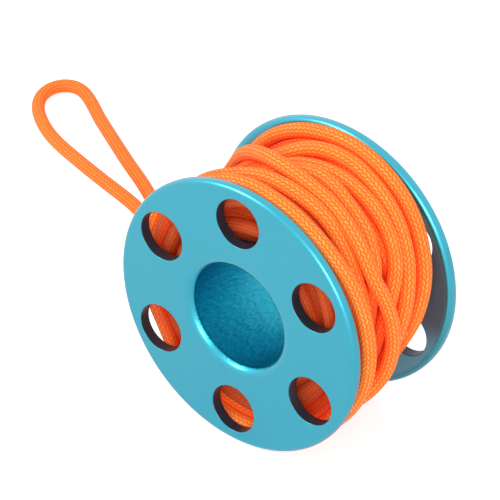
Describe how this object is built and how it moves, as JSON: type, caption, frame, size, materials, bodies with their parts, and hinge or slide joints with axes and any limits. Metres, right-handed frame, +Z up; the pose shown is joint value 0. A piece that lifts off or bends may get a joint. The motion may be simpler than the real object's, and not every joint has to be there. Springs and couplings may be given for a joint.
{
  "type": "finger spool",
  "caption": "Drilled metal finger spool wound with braided cord, a wide finger bore through the hub and the cord's free end tied in a loop.",
  "frame": {"origin": "on the floor under the middle of the spool, which lies on both rims", "axes": "+Z up; Y along the spool's axis, with the front face toward -Y; the free loop lies toward -X and +Y"},
  "size_m": [0.1548, 0.0864, 0.0611],
  "materials": {
    "anodised": "satin",
    "cord": "matte"
  },
  "bodies": {
    "root": {"spool_body": "anodised", "line_core": "cord", "line_winding": "cord", "line_hitch": "cord", "line_lead": "cord", "loop_knot": "cord", "line_loop": "cord"}
  },
  "joints": []
}
